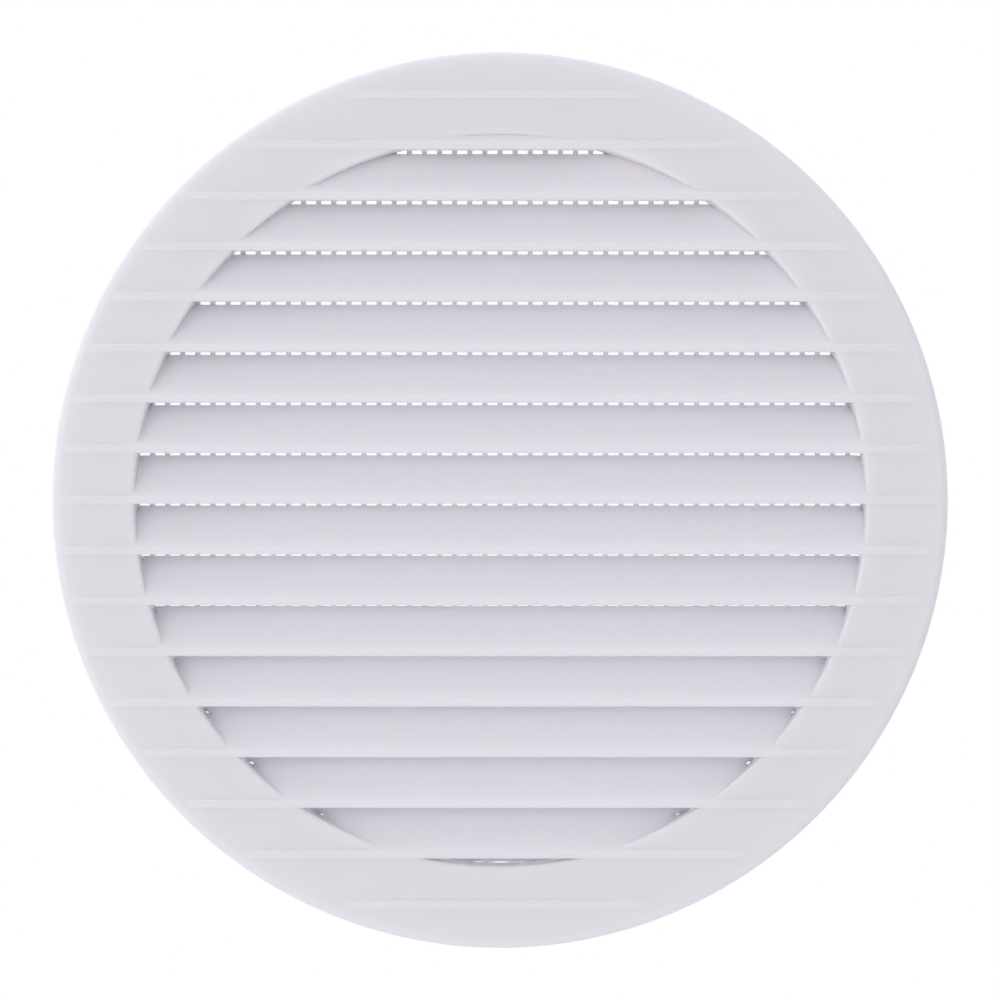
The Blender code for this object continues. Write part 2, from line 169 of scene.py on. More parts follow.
def rounded(corners, steps=4, closed=True):
    """An outline through corners (u, v, radius), each rounded to its radius."""
    outline = []
    for i, (u, v, radius) in enumerate(corners):
        at_end = not closed and i in (0, len(corners) - 1)
        if radius == 0.0 or at_end:
            outline.append((u, v))
            continue
        here = Vector((u, v))
        back = (Vector(corners[i - 1][:2]) - here).normalized()
        ahead = (Vector(corners[(i + 1) % len(corners)][:2]) - here).normalized()
        half = back.angle(ahead) / 2
        centre = here + (back + ahead).normalized() * (radius / math.sin(half))
        first = here + back * (radius / math.tan(half)) - centre
        last = here + ahead * (radius / math.tan(half)) - centre
        start = math.atan2(first.y, first.x)
        turn = (math.atan2(last.y, last.x) - start + math.pi) % math.tau - math.pi
        for step in range(steps + 1):
            angle = start + turn * step / steps
            outline.append(
                (
                    centre.x + radius * math.cos(angle),
                    centre.y + radius * math.sin(angle),
                )
            )
    return outline


def outward(bm):
    """Turn a closed solid's faces outward."""
    bmesh.ops.recalc_face_normals(bm, faces=bm.faces)
    if bm.calc_volume(signed=True) < 0.0:
        bmesh.ops.reverse_faces(bm, faces=bm.faces)
    return bm


def turned(outline, steps=TURN_STEPS):
    """Turn an outline of (r, y) round the Y axis.

    It makes a ring, or a solid where the outline's ends lie on the axis.
    """
    bm = bmesh.new()
    turns = [math.tau * i / steps for i in range(steps)]
    loops = []
    for r, y in outline:
        if r == 0.0:
            loops.append([bm.verts.new((0.0, y, 0.0))])
        else:
            loop = [(r * math.cos(turn), y, r * math.sin(turn)) for turn in turns]
            loops.append([bm.verts.new(point) for point in loop])
    pairs = list(zip(loops, loops[1:]))
    if outline[0][0] > 0.0:
        pairs.append((loops[-1], loops[0]))
    for near, far in pairs:
        skin(bm, near, far, steps)
    return outward(bm)


def skin(bm, near, far, count):
    """Faces between two closed loops; a loop of one vertex is a pole."""
    for i in range(count):
        j = (i + 1) % count
        corners = (
            near[i % len(near)],
            near[j % len(near)],
            far[j % len(far)],
            far[i % len(far)],
        )
        bm.faces.new(list(dict.fromkeys(corners)))


def lofted(loops):
    """Close a tube through loops of equal length, with flat ends."""
    bm = bmesh.new()
    rings = [[bm.verts.new(point) for point in loop] for loop in loops]
    for near, far in zip(rings, rings[1:]):
        skin(bm, near, far, len(near))
    bm.faces.new(rings[0])
    bm.faces.new(rings[-1])
    return outward(bm)


def join(bms):
    """One bmesh that holds several separate solids."""
    whole = bmesh.new()
    for bm in bms:
        mesh = bpy.data.meshes.new("joined")
        bm.to_mesh(mesh)
        bm.free()
        whole.from_mesh(mesh)
        bpy.data.meshes.remove(mesh)
    return whole


def prism(outline, low, high):
    """Extrude an outline of (y, z) points along X from low to high."""
    return lofted([[(x, y, z) for y, z in outline] for x in (low, high)])


def rod(radius, front, back, place=(0.0, 0.0), steps=32):
    """A cylinder along Y, centred on place = (x, z)."""
    turns = [math.tau * i / steps for i in range(steps)]
    return lofted(
        [
            [
                (place[0] + radius * math.cos(a), y, place[1] + radius * math.sin(a))
                for a in turns
            ]
            for y in (front, back)
        ]
    )


def make_object(name, bm, material=None):
    mesh = bpy.data.meshes.new(name)
    bm.to_mesh(mesh)
    bm.free()
    thing = bpy.data.objects.new(name, mesh)
    bpy.context.collection.objects.link(thing)
    if material:
        mesh.materials.append(material)
    return thing


def settle(thing):
    """Replace an object's mesh by what its modifiers make of it, without slivers."""
    bpy.context.view_layer.update()
    graph = bpy.context.evaluated_depsgraph_get()
    old = thing.data
    made = bpy.data.meshes.new_from_object(thing.evaluated_get(graph))
    thing.modifiers.clear()
    thing.data = made
    bpy.data.meshes.remove(old)
    bm = bmesh.new()
    bm.from_mesh(made)
    bmesh.ops.remove_doubles(bm, verts=bm.verts, dist=WELD)
    bmesh.ops.dissolve_degenerate(bm, edges=bm.edges, dist=WELD)
    bm.to_mesh(made)
    bm.free()


def combine(thing, bm, operation):
    """Apply a Boolean with the solid in bm, which is used up."""
    tool = make_object(f"{thing.name}_tool", bm)
    modifier = thing.modifiers.new(operation, "BOOLEAN")
    modifier.operation = operation
    modifier.solver = "EXACT"
    modifier.object = tool
    settle(thing)
    bpy.data.objects.remove(tool, do_unlink=True)


def shade(thing, angle=32.0, weighted=True):
    """Smooth the rounds and keep edges sharper than angle, in degrees."""
    thing.data.shade_smooth()
    thing.data.set_sharp_from_angle(angle=math.radians(angle))
    if weighted:
        modifier = thing.modifiers.new("flat faces stay flat", "WEIGHTED_NORMAL")
        modifier.keep_sharp = True


def place_piece(piece, node, body=BODY):
    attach(piece, body)
    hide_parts(node)


# --- materials ----------------------------------------------------------------


FLOW_SCALE = 55.0  # features per metre: slow shades and waves of a moulding
GRAIN_SCALE = 2600.0  # its eroded grain
GLOSS_SCALE = 320.0  # its patches of gloss
LINE_SCALE = 1500.0  # fine lines in metal
BLOOM_SCALE = 420.0  # patches in metal
FLOW_WAVE = 0.02 * MM  # height of a moulding's waves


class Finish:
    """A material's node tree round one Principled shader."""

    def __init__(self, name, roughness, metallic=0.0):
        self.material = bpy.data.materials.new(name)
        self.material.use_nodes = True
        self.tree = self.material.node_tree
        self.shader = self.tree.nodes["Principled BSDF"]
        self.shader.inputs["Roughness"].default_value = roughness
        self.shader.inputs["Metallic"].default_value = metallic
        self.place = self.tree.nodes.new("ShaderNodeTexCoord").outputs["Object"]

    def link(self, output, socket):
        self.tree.links.new(output, socket)

    def round_duct(self, radius):
        """Coordinates (arc about the Y axis at that radius, y, 0)."""
        # an eighth of a turn, so that the arc's seam falls between two leaves
        aside = self.tree.nodes.new("ShaderNodeMapping")
        aside.inputs["Rotation"].default_value = (0.0, math.radians(45.0), 0.0)
        self.link(self.place, aside.inputs["Vector"])
        split = self.tree.nodes.new("ShaderNodeSeparateXYZ")
        self.link(aside.outputs["Vector"], split.inputs["Vector"])
        turn = self.tree.nodes.new("ShaderNodeMath")
        turn.operation = "ARCTAN2"
        self.link(split.outputs["X"], turn.inputs[0])
        self.link(split.outputs["Z"], turn.inputs[1])
        arc = self.tree.nodes.new("ShaderNodeMath")
        arc.operation = "MULTIPLY"
        arc.inputs[1].default_value = radius
        self.link(turn.outputs["Value"], arc.inputs[0])
        joined = self.tree.nodes.new("ShaderNodeCombineXYZ")
        self.link(arc.outputs["Value"], joined.inputs["X"])
        self.link(split.outputs["Y"], joined.inputs["Y"])
        return joined.outputs["Vector"]

    def noise(self, scale, detail=3.0, stretch=None):
        """Noise in the material's space; scale is in features per metre."""
        node = self.tree.nodes.new("ShaderNodeTexNoise")
        node.inputs["Scale"].default_value = scale
        node.inputs["Detail"].default_value = detail
        place = self.place
        if stretch:
            mapping = self.tree.nodes.new("ShaderNodeMapping")
            mapping.inputs["Scale"].default_value = stretch
            self.link(place, mapping.inputs["Vector"])
            place = mapping.outputs["Vector"]
        self.link(place, node.inputs["Vector"])
        return node.outputs["Fac"]

    def ramp(self, factor, stops):
        """Colours (position, (r, g, b)) picked by a factor."""
        node = self.tree.nodes.new("ShaderNodeValToRGB")
        elements = node.color_ramp.elements
        while len(elements) < len(stops):
            elements.new(0.5)
        for element, (position, colour) in zip(elements, stops):
            element.position = position
            element.color = (*colour, 1.0)
        self.link(factor, node.inputs["Fac"])
        return node.outputs["Color"]

    def spread(self, factor, low, high, edges=(0.3, 0.7)):
        """Map a factor between edges to a value from low to high."""
        node = self.tree.nodes.new("ShaderNodeMapRange")
        for name, value in (
            ("From Min", edges[0]),
            ("From Max", edges[1]),
            ("To Min", low),
            ("To Max", high),
        ):
            node.inputs[name].default_value = value
        self.link(factor, node.inputs["Value"])
        return node.outputs["Result"]

    def mix(self, share, first, second):
        """Mix two colour outputs; share is that of the second."""
        node = self.tree.nodes.new("ShaderNodeMix")
        node.data_type = "RGBA"
        node.inputs["Factor"].default_value = share
        self.link(first, node.inputs["A"])
        self.link(second, node.inputs["B"])
        return node.outputs["Result"]

    def bump(self, height, depth, strength=1.0, below=None):
        """Relief of that depth in metres, laid over the relief below it."""
        node = self.tree.nodes.new("ShaderNodeBump")
        node.inputs["Strength"].default_value = strength
        node.inputs["Distance"].default_value = depth
        self.link(height, node.inputs["Height"])
        if below:
            self.link(below, node.inputs["Normal"])
        return node.outputs["Normal"]

    def glow_through(self, depth, tint):
        """Let light scatter through the piece, to about depth in metres."""
        self.shader.inputs["Subsurface Weight"].default_value = 1.0
        self.shader.inputs["Subsurface Radius"].default_value = tint
        self.shader.inputs["Subsurface Scale"].default_value = depth

    def finish(self, colour=None, roughness=None, normal=None):
        for output, name in (
            (colour, "Base Color"),
            (roughness, "Roughness"),
            (normal, "Normal"),
        ):
            if output:
                self.link(output, self.shader.inputs[name])
        return self.material


def shades(colour, spread):
    """Three near shades of a colour, cooler where darker, as ramp stops."""
    darker, lighter = (1.0, 0.8, 0.5), (0.7, 0.5, 0.3)
    return [
        (0.25, tuple(c * (1 - share * spread) for c, share in zip(colour, darker))),
        (0.5, colour),
        (0.75, tuple(c * (1 + share * spread) for c, share in zip(colour, lighter))),
    ]


def moulded_plastic(name, colour, roughness, grain, glow):
    """Satin moulded plastic: faint flow marks and a fine eroded grain."""
    finish = Finish(name, roughness)
    finish.glow_through(glow, GLOW_TINT)
    flow = finish.noise(FLOW_SCALE, 2.0, stretch=(1.0, 1.0, 1.6))
    speckle = finish.noise(GRAIN_SCALE, 2.0)
    cloud = finish.ramp(flow, shades(colour, 0.018))
    fine = finish.ramp(speckle, shades(colour, 0.012))
    patches = finish.noise(GLOSS_SCALE, 4.0)
    gloss = finish.spread(patches, roughness - 0.05, roughness + 0.06)
    waves = finish.bump(flow, FLOW_WAVE, 0.35)
    normal = finish.bump(speckle, grain, 0.5, below=waves)
    return finish.finish(finish.mix(0.4, cloud, fine), gloss, normal)


def worked_metal(name, colour, roughness, along, grain, radius=None):
    """Metal with fine lines; along scales the noise so that lines run that way.

    With a radius, the noise lies round the duct's axis, the same at any distance
    from it.
    """
    finish = Finish(name, roughness, 1.0)
    if radius:
        finish.place = finish.round_duct(radius)
    lines = finish.noise(LINE_SCALE, 5.0, stretch=along)
    bloom = finish.noise(BLOOM_SCALE, 3.0)
    tone = finish.mix(
        0.5,
        finish.ramp(lines, shades(colour, 0.12)),
        finish.ramp(bloom, shades(colour, 0.08)),
    )
    gloss = finish.spread(lines, roughness - 0.09, roughness + 0.12)
    return finish.finish(tone, gloss, finish.bump(lines, grain, 0.6))


GLOW_TINT = (0.95, 1.0, 1.1)
WHITE = (0.955, 0.93, 0.965)
FACE_WHITE = moulded_plastic("face_white", WHITE, 0.42, 0.004 * MM, 1.8 * MM)
NET_WHITE = moulded_plastic("net_white", WHITE, 0.5, 0.006 * MM, 0.9 * MM)
COLLAR_WHITE = moulded_plastic("collar_white", WHITE, 0.5, 0.010 * MM, 0.8 * MM)
ZINC = worked_metal("zinc", (0.60, 0.62, 0.66), 0.3, (1.0, 1.0, 1.0), 0.004 * MM)
RIVET_METAL = worked_metal(
    "rivet_aluminium", (0.74, 0.745, 0.755), 0.33, (1.0, 1.0, 1.0), 0.004 * MM
)
STRIP_STEEL = worked_metal(
    "strip_steel", (0.57, 0.575, 0.585), 0.27, (2.5, 0.12, 1.0), 0.003 * MM, LEAF_RADIUS
)


# --- louvre face --------------------------------------------------------------


def bar_line(index):
    """Height of bar number index, counted from the top."""
    return ((BAR_COUNT - 1) / 2 - index) * LOUVRE_PITCH


def bar_section(proud):
    """Cross-section (y, z) of a bar that stands proud of the rim by that much."""
    front = FRONT - proud
    round_depth = min(BAR_LOWER_ROUND, proud)
    outline = [(FRONT + BAR_ROOT, BAR_BOTTOM)]
    for step in range(4):
        turn = math.radians(30.0 * step)
        outline.append(
            (
                front + round_depth * (1 - math.sin(turn)),
                BAR_BOTTOM + BAR_LOWER_ROUND * (1 - math.cos(turn)),
            )
        )
    for step in range(9):
        turn = math.radians(90.0 * step / 8)
        outline.append(
            (
                front + proud * (1 - math.cos(turn)),
                BAR_TOP - BAR_ROUND * (1 - math.sin(turn)),
            )
        )
    outline.append((FRONT + BAR_ROOT, BAR_TOP))
    return outline


def bar_solid(index):
    """A raised bar whose ends sink into the rim."""
    line = bar_line(index)
    steps = 8
    stations = []
    for step in range(steps + 1):
        share = step / steps
        radius = BAR_END_RADIUS + (BAR_FLAT_RADIUS - BAR_END_RADIUS) * share
        x = math.sqrt(radius**2 - (abs(line) + BAR_TOP) ** 2)
        rise = math.sin(share * math.pi / 2)
        stations.append((x, BAR_END_PROUD + (BAR_PROUD - BAR_END_PROUD) * rise))
    stations += [(-x, proud) for x, proud in stations[::-1]]
    return lofted(
        [[(x, y, line + z) for y, z in bar_section(proud)] for x, proud in stations]
    )


def blade_section():
    """Cross-section (y, z) of a louvre, whose top runs on from its bar's rounding."""
    rear_top = (BLADE_REAR - BLADE_REAR_EDGE, BLADE_REAR_TOP)
    centre = (FRONT, BAR_TOP - BAR_ROUND)
    turn = math.radians(45.0)
    for _ in range(8):  # the top's line touches the bar's elliptic rounding
        touch = (
            centre[0] - BAR_PROUD * math.cos(turn),
            centre[1] + BAR_ROUND * math.sin(turn),
        )
        slope = (rear_top[1] - touch[1]) / (rear_top[0] - touch[0])
        turn = math.atan(BAR_ROUND / (BAR_PROUD * slope))
    front = touch[0] + BLADE_SINK
    front_top = touch[1] + slope * BLADE_SINK - BLADE_SINK
    bottom = BAR_BOTTOM + BLADE_SINK
    lip_rear = BAR_FRONT + DRIP_LIP_DEPTH
    lip_top = BAR_BOTTOM + DRIP_LIP_HEIGHT
    return rounded(
        [
            (front, bottom, 0.0),
            (front, front_top, 0.0),
            (*rear_top, BLADE_EDGE),
            (BLADE_REAR, BLADE_REAR_TOP, BLADE_EDGE),
            (BLADE_REAR, BLADE_REAR_TOP - BLADE_REAR_HEIGHT, BLADE_EDGE),
            (lip_rear - DRIP_LIP_SLOPE, lip_top, 2 * BLADE_EDGE),
            (lip_rear, lip_top, BLADE_EDGE),
            (lip_rear, bottom, BLADE_EDGE),
        ]
    )


def screw_places():
    """(x, z) of each screw, from its CAD node."""
    places = []
    for name in SCREWS:
        low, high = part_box(name)
        places.append(((low.x + high.x) / 2, (low.z + high.z) / 2))
    return places


def make_louvre_face():
    small = 0.25 * MM
    shell = rounded(
        [
            (OPENING_RADIUS, FRONT, OPENING_EDGE),
            (FACE_RADIUS, FRONT, EDGE_RADIUS),
            (FACE_RADIUS, FACE_HIGH.y, small),
            (FACE_RADIUS - SKIRT, FACE_HIGH.y, small),
            (FACE_RADIUS - SKIRT, FRONT + PLATE, 3 * small),
            (SLEEVE_OUTER_RADIUS, FRONT + PLATE, 2 * small),
            (SLEEVE_OUTER_RADIUS, BLADE_REAR, small),
            (SLEEVE_REAR_RADIUS, BLADE_REAR, small),
        ],
        steps=8,
    )
    face = make_object("louvre_face_piece", turned(shell), FACE_WHITE)
    boss_end = RING_LOW.y - PLAY
    bosses = [
        rod(BOSS_RADIUS, FRONT + PLATE / 2, boss_end, place) for place in screw_places()
    ]
    combine(face, join(bosses), "UNION")
    pilots = [
        rod(PILOT_RADIUS, boss_end - PILOT_DEPTH, RING_HIGH.y, place)
        for place in screw_places()
    ]
    combine(face, join(pilots), "DIFFERENCE")

    section = blade_section()
    blades = []
    for index in range(1, BLADE_COUNT + 1):
        outline = [(y, bar_line(index) + z) for y, z in section]
        blades.append(prism(outline, -FACE_RADIUS, FACE_RADIUS))
    blade_set = make_object("blades", join(blades))
    within = SLEEVE_OUTER_RADIUS - PLAY
    combine(blade_set, rod(within, FRONT - PLATE, PLATE, steps=TURN_STEPS), "INTERSECT")
    notch_radius = SLEEVE_REAR_RADIUS - BLADE_NOTCH
    notch = [
        (notch_radius, -BLADE_NOTCH_DEPTH),
        (SLEEVE_OUTER_RADIUS, -BLADE_NOTCH_DEPTH / 2),
        (SLEEVE_OUTER_RADIUS, 3 * PLATE),
        (notch_radius, 3 * PLATE),
    ]
    lean = Matrix.Rotation(-BLADE_NOTCH_SLOPE, 4, "X")
    lay = Matrix.Translation((0.0, BLADE_REAR, 0.0)) @ lean
    combine(blade_set, moved(turned(notch), lay), "DIFFERENCE")
    trimmed = bmesh.new()
    trimmed.from_mesh(blade_set.data)
    bpy.data.objects.remove(blade_set, do_unlink=True)
    combine(face, trimmed, "UNION")
    combine(face, join([bar_solid(index) for index in range(BAR_COUNT)]), "UNION")
    shade(face)
    place_piece(face, "louvre_face")


# --- insect screen ------------------------------------------------------------


def net_edges(pitch, first, reach):
    """Both edges of every net bar across one direction, chamfers taken off."""
    half = NET_BAR / 2 - NET_CHAMFER
    count = int(reach / pitch) + 1
    edges = []
    for number in range(-count, count + 1):
        middle = first + number * pitch
        edges += [middle - half, middle + half]
    return edges


def net_solid():
    """A square plate of crossing bars, chamfered along every opening."""
    bm = bmesh.new()
    xs = net_edges(NET_COLUMN, 0.0, NET_RADIUS)
    zs = net_edges(NET_ROW, NET_ROW / 2, NET_RADIUS)
    front_y, back_y = SCREEN_LOW.y + NET_INSET, SCREEN_HIGH.y - NET_INSET
    front = [[bm.verts.new((x, front_y, z)) for z in zs] for x in xs]
    back = [[bm.verts.new((x, back_y, z)) for z in zs] for x in xs]
    for i in range(len(xs) - 1):
        for j in range(len(zs) - 1):
            corners = ((i, j), (i + 1, j), (i + 1, j + 1), (i, j + 1))
            near = [front[a][b] for a, b in corners]
            far = [back[a][b] for a, b in corners]
            if i % 2 == 0 or j % 2 == 0:
                bm.faces.new(near)
                bm.faces.new(far)
                continue
            loops = [near]
            for y in (front_y + NET_CHAMFER, back_y - NET_CHAMFER):
                x0, x1 = xs[i] + NET_CHAMFER, xs[i + 1] - NET_CHAMFER
                z0, z1 = zs[j] + NET_CHAMFER, zs[j + 1] - NET_CHAMFER
                points = ((x0, y, z0), (x1, y, z0), (x1, y, z1), (x0, y, z1))
                loops.append([bm.verts.new(point) for point in points])
            loops.append(far)
            for one, other in zip(loops, loops[1:]):
                skin(bm, one, other, 4)
    last_x, last_z = len(xs) - 1, len(zs) - 1
    rim = [(i, 0) for i in range(last_x)]
    rim += [(last_x, j) for j in range(last_z)]
    rim += [(i, last_z) for i in range(last_x, 0, -1)]
    rim += [(0, j) for j in range(last_z, 0, -1)]
    skin(bm, [front[i][j] for i, j in rim], [back[i][j] for i, j in rim], len(rim))
    return outward(bm)


def make_insect_screen():
    screen = make_object("insect_screen_piece", net_solid(), NET_WHITE)
    overlap = NET_RADIUS + NET_BAR / 2
    cut = rod(overlap, SCREEN_LOW.y - PLAY, SCREEN_HIGH.y + PLAY, steps=TURN_STEPS)
    combine(screen, cut, "INTERSECT")
    edge = 0.15 * MM
    rim = rounded(
        [
            (NET_RADIUS, SCREEN_LOW.y, edge),
            (SCREEN_HIGH.x, SCREEN_LOW.y, edge),
            (SCREEN_HIGH.x, SCREEN_HIGH.y, edge),
            (NET_RADIUS, SCREEN_HIGH.y, edge),
        ],
        steps=3,
    )
    combine(screen, turned(rim), "UNION")
    shade(screen)
    place_piece(screen, "insect_screen")


# --- duct collar and retaining ring -------------------------------------------


def leaf_turn(number):
    """Turn from the right-hand side (+X) to leaf number 1 to 4."""
    return Matrix.Rotation(-math.tau * (number - 1) / 4, 4, "Y")


def rivet_places(number):
    """Matrices that carry a rivet made along Y to its two places on a leaf."""
    lay = Matrix.Rotation(math.radians(-90), 4, "Z")
    return [
        leaf_turn(number)
        @ Matrix.Translation((LEAF_RADIUS, RIVET_PLACE, side * RIVET_OFFSET))
        @ lay
        for side in (-1, 1)
    ]


def moved(bm, matrix):
    bmesh.ops.transform(bm, matrix=matrix, verts=bm.verts)
    return bm


def make_duct_collar():
    small = 0.25 * MM
    lip_back = COLLAR_LOW.y + COLLAR_LIP
    outline = rounded(
        [
            (COLLAR_INNER_RADIUS, lip_back, small),
            (COLLAR_LIP_INNER_RADIUS, lip_back, 0.6 * small),
            (COLLAR_LIP_INNER_RADIUS, COLLAR_LOW.y, 0.6 * small),
            (COLLAR_HIGH.x, COLLAR_LOW.y, 0.6 * small),
            (COLLAR_HIGH.x, lip_back, 0.6 * small),
            (COLLAR_OUTER_RADIUS, lip_back, small),
            (COLLAR_OUTER_RADIUS, COLLAR_HIGH.y - COLLAR_LEAD_IN, 4 * small),
            (COLLAR_OUTER_RADIUS - COLLAR_CHAMFER, COLLAR_HIGH.y, small),
            (COLLAR_INNER_RADIUS, COLLAR_HIGH.y, small),
        ]
    )
    collar = make_object("duct_collar_piece", turned(outline), COLLAR_WHITE)
    holes = []
    for number in range(1, 5):
        for matrix in rivet_places(number):
            holes.append(moved(rod(RIVET_RADIUS + RIVET_PLAY, -3 * MM, 3 * MM), matrix))
    combine(collar, join(holes), "DIFFERENCE")
    shade(collar)
    place_piece(collar, "duct_collar")


def make_retaining_ring():
    small = 0.2 * MM
    step_radius = COLLAR_HIGH.x + PLAY
    step_front = RING_HIGH.y - RING_THICKNESS
    flat_back = RING_LOW.y + RING_THICKNESS
    outline = rounded(
        [
            (step_radius, RING_LOW.y, small),
            (RING_HIGH.x, RING_LOW.y, small),
            (RING_HIGH.x, flat_back, small),
            (step_radius + RING_STEP, flat_back, 2 * small),
            (step_radius + RING_STEP, RING_HIGH.y, 2 * small),
            (COLLAR_OUTER_RADIUS + PLAY, RING_HIGH.y, small),
            (COLLAR_OUTER_RADIUS + PLAY, step_front, small),
            (step_radius, step_front, small),
        ]
    )
    ring = make_object("retaining_ring_piece", turned(outline), COLLAR_WHITE)
    holes = [rod(PILOT_RADIUS, FRONT, PLATE, place) for place in screw_places()]
    combine(ring, join(holes), "DIFFERENCE")
    shade(ring)
    place_piece(ring, "retaining_ring")


# --- screws -------------------------------------------------------------------


def thread_radius(turn, y, tip, head):
    """Radius of the threaded shank at an angle and a height."""
    phase = (y / THREAD_PITCH - turn / math.tau) % 1.0
    ridge = max(0.0, 1.0 - abs(phase - 0.5) / THREAD_RIDGE)
    taper = min(1.0, (y - tip) / TIP_TAPER + TIP_BLUNT)
    runout = min(1.0, max(0.0, (head - y) / THREAD_RUNOUT))
    core = SCREW_CORE_RADIUS * taper
    return core + (THREAD_RADIUS - SCREW_CORE_RADIUS) * ridge * taper * runout


def screw_solid(tip, head, top):
    """A pan-head screw along Y from its tip to the top of its head."""
    bm = bmesh.new()
    steps, rows = 32, 56
    turns = [math.tau * i / steps for i in range(steps)]
    rings = [[bm.verts.new((0.0, tip, 0.0))]]
    for row in range(rows + 1):
        y = tip + (head - tip) * row / rows
        ring = []
        for turn in turns:
            r = thread_radius(turn, y, tip, head)
            ring.append(bm.verts.new((r * math.cos(turn), y, r * math.sin(turn))))
        rings.append(ring)
    dome = rounded(
        [
            (SCREW_CORE_RADIUS, head, 0.0),
            (SCREW_HEAD_RADIUS, head, 0.12 * MM),
            (SCREW_HEAD_RADIUS * 0.98, top - 0.62 * MM, 0.35 * MM),
            (SCREW_HEAD_RADIUS * 0.72, top - 0.12 * MM, 0.9 * MM),
            (0.0, top, 0.0),
        ],
        closed=False,
    )
    for r, y in dome[1:-1]:
        ring = [(r * math.cos(turn), y, r * math.sin(turn)) for turn in turns]
        rings.append([bm.verts.new(point) for point in ring])
    rings.append([bm.verts.new((0.0, top, 0.0))])
    for near, far in zip(rings, rings[1:]):
        skin(bm, near, far, steps)
    return outward(bm)


def cross_recess(floor, above):
    """A cross-shaped driver recess that narrows towards its floor."""
    loops = []
    for y, long, thin in (
        (floor, 0.75 * MM, 0.26 * MM),
        (above, 1.75 * MM, 0.42 * MM),
    ):
        quarter = [(long, -thin), (long, thin), (thin, thin)]
        loop = []
        for turn in range(4):
            for x, z in quarter:
                for _ in range(turn):
                    x, z = -z, x
                loop.append((x, y, z))
        loops.append(loop)
    return lofted(loops)


def make_screws():
    for number, (name, place) in enumerate(zip(SCREWS, screw_places()), start=1):
        low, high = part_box(name)
        head = high.y - SCREW_HEAD
        screw = make_object(f"{name}_piece", screw_solid(low.y, head, high.y), ZINC)
        recess = cross_recess(high.y - RECESS_DEPTH, high.y + 0.25 * MM)
        combine(screw, recess, "DIFFERENCE")
        turn = Matrix.Rotation(SCREW_TURN * number, 4, "Y")
        screw.data.transform(Matrix.Translation((place[0], 0.0, place[1])) @ turn)
        shade(screw, 38.0)
        place_piece(screw, name)


# --- spring leaves and rivets -------------------------------------------------


def leaf_line():
    """The strip's middle line: (rise from the collar, y from the bend)."""
    corners = [
        (0.0, LEAF_FOOT, 0.0),
        (0.0, 0.15 * MM, LEAF_BEND_RADIUS),
        (*LEAF_CREST, LEAF_CREST_RADIUS),
        (*LEAF_TIP, 0.0),
    ]
    coarse = [Vector(point) for point in rounded(corners, steps=8, closed=False)]
    fine = []
    for one, other in zip(coarse, coarse[1:]):
        pieces = max(1, round((other - one).length / LEAF_STEP))
        fine += [one.lerp(other, i / pieces) for i in range(pieces)]
    return fine + [coarse[-1]]


def leaf_solid():
    """A spring strip at the right-hand side, with rounded corners and edges."""
    line = leaf_line()
    lengths = [0.0]
    for one, other in zip(line, line[1:]):
        lengths.append(lengths[-1] + (other - one).length)
    half, edge, corner = LEAF_THICKNESS / 2, LEAF_EDGE, LEAF_CORNER
    loops = []
    for i, (point, length) in enumerate(zip(line, lengths)):
        along = line[min(i + 1, len(line) - 1)] - line[max(i - 1, 0)]
        normal = Vector((-along.y, along.x)).normalized()
        from_end = min(length, lengths[-1] - length)
        cut = corner - math.sqrt(corner**2 - max(0.0, corner - from_end) ** 2)
        wide = LEAF_WIDTH / 2 - cut
        section = [
            (half, -wide + edge),
            (half, wide - edge),
            (half - edge, wide),
            (edge - half, wide),
            (-half, wide - edge),
            (-half, edge - wide),
            (edge - half, -wide),
            (half - edge, -wide),
        ]
        loops.append(
            [
                (
                    LEAF_RADIUS + point.x + normal.x * out,
                    LEAF_BEND + point.y + normal.y * out,
                    z,
                )
                for out, z in section
            ]
        )
    return lofted(loops)


def make_spring_leaf(number):
    name = f"spring_leaf_{number}"
    turn = leaf_turn(number)
    leaf = make_object(f"{name}_piece", moved(leaf_solid(), turn), STRIP_STEEL)
    holes = [
        moved(rod(RIVET_RADIUS + RIVET_PLAY, -2 * MM, 2 * MM), matrix)
        for matrix in rivet_places(number)
    ]
    combine(leaf, join(holes), "DIFFERENCE")
    shade(leaf, METAL_EDGE, weighted=False)
    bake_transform(leaf)
    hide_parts(name)


def rivet_solid():
    """A blind rivet along Y: a low dome with its pulled stem, and a set tail."""
    inside = COLLAR_INNER_RADIUS - LEAF_RADIUS - RIVET_SEAT
    outside = LEAF_THICKNESS / 2 + RIVET_SEAT
    top = LEAF_THICKNESS / 2 + PLAY + RIVET_HEAD
    tail = inside - RIVET_HEAD - 0.2 * MM
    outline = rounded(
        [
            (0.0, tail, 0.0),
            (RIVET_HEAD_RADIUS * 0.7, tail, 0.3 * MM),
            (RIVET_HEAD_RADIUS * 0.95, inside, 0.15 * MM),
            (RIVET_RADIUS, inside, 0.0),
            (RIVET_RADIUS, outside, 0.0),
            (RIVET_HEAD_RADIUS, outside, 0.06 * MM),
            (RIVET_HEAD_RADIUS * 0.93, outside + 0.4 * MM, 0.4 * MM),
            (0.62 * MM, top, 0.08 * MM),
            (0.58 * MM, top - 0.35 * MM, 0.0),
            (0.5 * MM, top - 0.35 * MM, 0.0),
            (0.46 * MM, top - 0.12 * MM, 0.08 * MM),
            (0.0, top - 0.08 * MM, 0.0),
        ],
        closed=False,
    )
    return turned(outline, 32)


def make_rivets(number):
    for letter, matrix in zip("ab", rivet_places(number)):
        name = f"leaf_rivet_{number}{letter}"
        rivet = make_object(f"{name}_piece", moved(rivet_solid(), matrix), RIVET_METAL)
        shade(rivet, METAL_EDGE)
        place_piece(rivet, name)


# --- stage: floor, lights and camera ------------------------------------------


